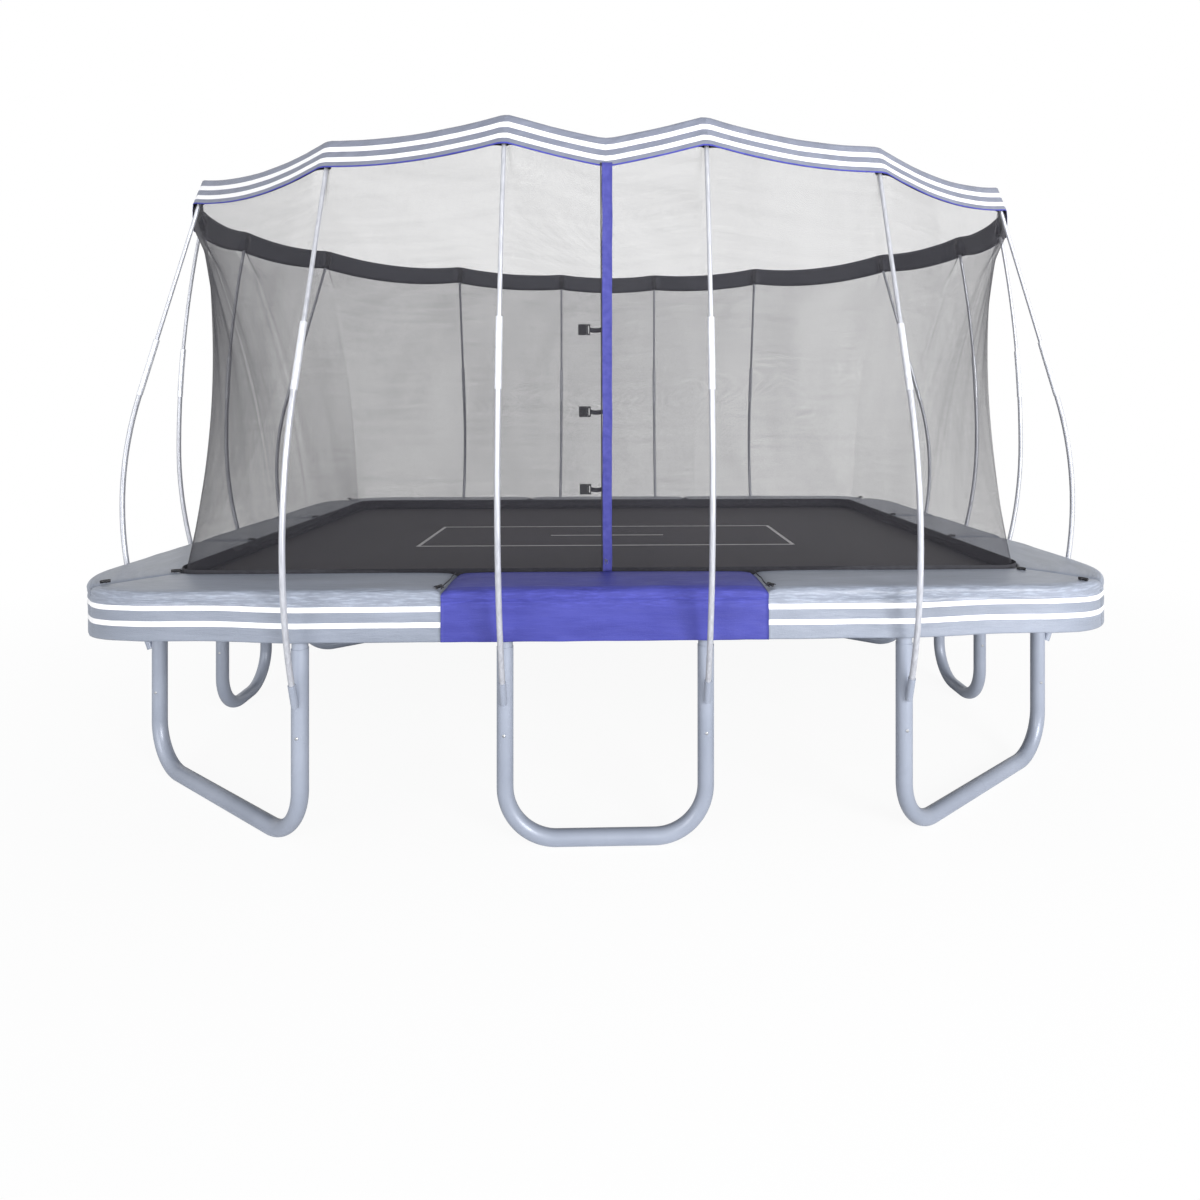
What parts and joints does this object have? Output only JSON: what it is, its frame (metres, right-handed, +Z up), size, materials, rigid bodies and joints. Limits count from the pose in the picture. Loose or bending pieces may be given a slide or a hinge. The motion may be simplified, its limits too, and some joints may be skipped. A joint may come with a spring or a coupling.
{
  "type": "trampoline",
  "caption": "Rectangular garden trampoline on U-shaped legs, with bowed outer poles, a hung safety net with a zipped door, a sprung mat and a padded surround.",
  "frame": {"origin": "on the ground, under the centre of the jumping mat", "axes": "+X along the long side, to the right seen from the door; -Y towards the door; +Z up"},
  "size_m": [4.6984, 3.4824, 2.78],
  "materials": {
    "powder_coated_steel": "satin",
    "galvanised_steel": "satin",
    "plated_steel": "satin",
    "black_plastic": "matte",
    "mat_fabric": "matte",
    "net_mesh": "matte",
    "band_fabric": "matte",
    "pad_grey_vinyl": "satin",
    "pad_blue_vinyl": "satin",
    "door_blue_fabric": "matte"
  },
  "bodies": {
    "frame": {"rail_front": "powder_coated_steel", "rail_back": "powder_coated_steel", "rail_left": "powder_coated_steel", "rail_right": "powder_coated_steel", "rail_corner_front_left": "powder_coated_steel", "rail_corner_front_right": "powder_coated_steel", "rail_corner_back_left": "powder_coated_steel", "rail_corner_back_right": "powder_coated_steel", "leg_sockets": "powder_coated_steel", "leg_base_front": "powder_coated_steel", "leg_base_back": "powder_coated_steel", "leg_base_left": "powder_coated_steel", "leg_base_right": "powder_coated_steel", "leg_base_front_left": "powder_coated_steel", "leg_base_front_right": "powder_coated_steel", "leg_base_back_left": "powder_coated_steel", "leg_base_back_right": "powder_coated_steel", "uprights_front": "powder_coated_steel", "uprights_back": "powder_coated_steel", "uprights_left": "powder_coated_steel", "uprights_right": "powder_coated_steel", "pole_front_1": "galvanised_steel", "pole_front_2": "galvanised_steel", "pole_front_3": "galvanised_steel", "pole_front_4": "galvanised_steel", "pole_back_1": "galvanised_steel", "pole_back_2": "galvanised_steel", "pole_back_3": "galvanised_steel", "pole_back_4": "galvanised_steel", "pole_left_1": "galvanised_steel", "pole_left_2": "galvanised_steel", "pole_left_3": "galvanised_steel", "pole_left_4": "galvanised_steel", "pole_right_1": "galvanised_steel", "pole_right_2": "galvanised_steel", "pole_right_3": "galvanised_steel", "pole_right_4": "galvanised_steel", "pole_sleeves": "galvanised_steel", "pole_caps": "black_plastic", "leg_screws": "plated_steel", "springs": "plated_steel", "pad_front_left": "pad_grey_vinyl", "pad_front_centre": "pad_blue_vinyl", "pad_front_right": "pad_grey_vinyl", "pad_left": "pad_grey_vinyl", "pad_right": "pad_grey_vinyl", "pad_back": "pad_grey_vinyl", "net_front": "net_mesh", "net_back": "net_mesh", "net_left": "net_mesh", "net_right": "net_mesh", "top_band": "band_fabric", "door_placket": "door_blue_fabric", "buckle_sockets": "black_plastic"},
    "mat_body": {"mat": "mat_fabric", "mat_rings": "plated_steel"},
    "slider_body": {"zip_slider": "plated_steel"},
    "clip_body_1": {"buckle_clip_1": "black_plastic"},
    "clip_body_2": {"buckle_clip_2": "black_plastic"},
    "clip_body_3": {"buckle_clip_3": "black_plastic"}
  },
  "joints": [
    {"name": "mat_bounce", "type": "slide", "parent": "frame", "child": "mat_body", "axis": [0, 0, 1], "range_m": [-0.35, 0], "stiffness_N_per_m": 4000, "springref_m": 0.03, "deforming": ["springs"]},
    {"name": "zip_slide", "type": "slide", "parent": "frame", "child": "slider_body", "axis": [0, -0.2365, 0.9716], "range_m": [0, 1.45]},
    {"name": "buckle_release_1", "type": "slide", "parent": "frame", "child": "clip_body_1", "axis": [1, 0, 0], "range_m": [0, 0.024]},
    {"name": "buckle_release_2", "type": "slide", "parent": "frame", "child": "clip_body_2", "axis": [1, 0, 0], "range_m": [0, 0.024]},
    {"name": "buckle_release_3", "type": "slide", "parent": "frame", "child": "clip_body_3", "axis": [1, 0, 0], "range_m": [0, 0.024]}
  ]
}
